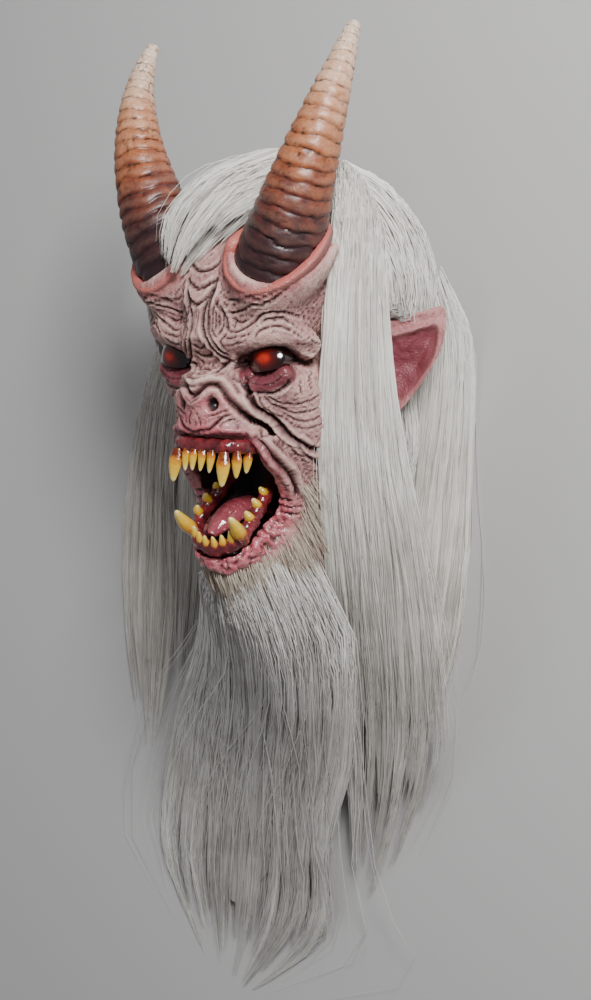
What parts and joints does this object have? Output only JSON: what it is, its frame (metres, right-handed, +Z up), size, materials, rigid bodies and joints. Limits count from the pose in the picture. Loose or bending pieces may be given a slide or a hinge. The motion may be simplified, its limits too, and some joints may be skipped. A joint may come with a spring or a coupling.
{
  "type": "krampus mask",
  "caption": "Full-head krampus mask laid on its back: wrinkled hollow latex skin, roaring fanged mouth, pointed ears, ringed horns, red eyes, and long white hair and beard.",
  "frame": {"origin": "centre of the flat spot at the back of the hair, on the surface the mask lies on", "axes": "+Z up from that surface, the way the face looks; +Y from the chin to the horn tips; +X the wearer's left"},
  "size_m": [0.4439, 0.9157, 0.24],
  "materials": {
    "skin": "matte cast latex with dark washes in the creases",
    "horn": "satin painted latex, near-black at the base to tan at the tip",
    "eye": "wet gloss",
    "teeth": "gloss, amber roots and dark red gums",
    "tongue": "wet gloss",
    "hair": "silky synthetic fibre",
    "beard": "silky synthetic fibre"
  },
  "bodies": {
    "root": {"mask_skin": "skin", "horn_left": "horn", "horn_right": "horn", "eye_left": "eye", "eye_right": "eye", "upper_teeth": "teeth", "lower_teeth": "teeth", "tongue": "tongue", "hair_crown": "hair", "lock_left_front": "hair", "lock_left_back": "hair", "lock_right_front": "hair", "lock_right_back": "hair", "beard": "beard"}
  },
  "joints": []
}
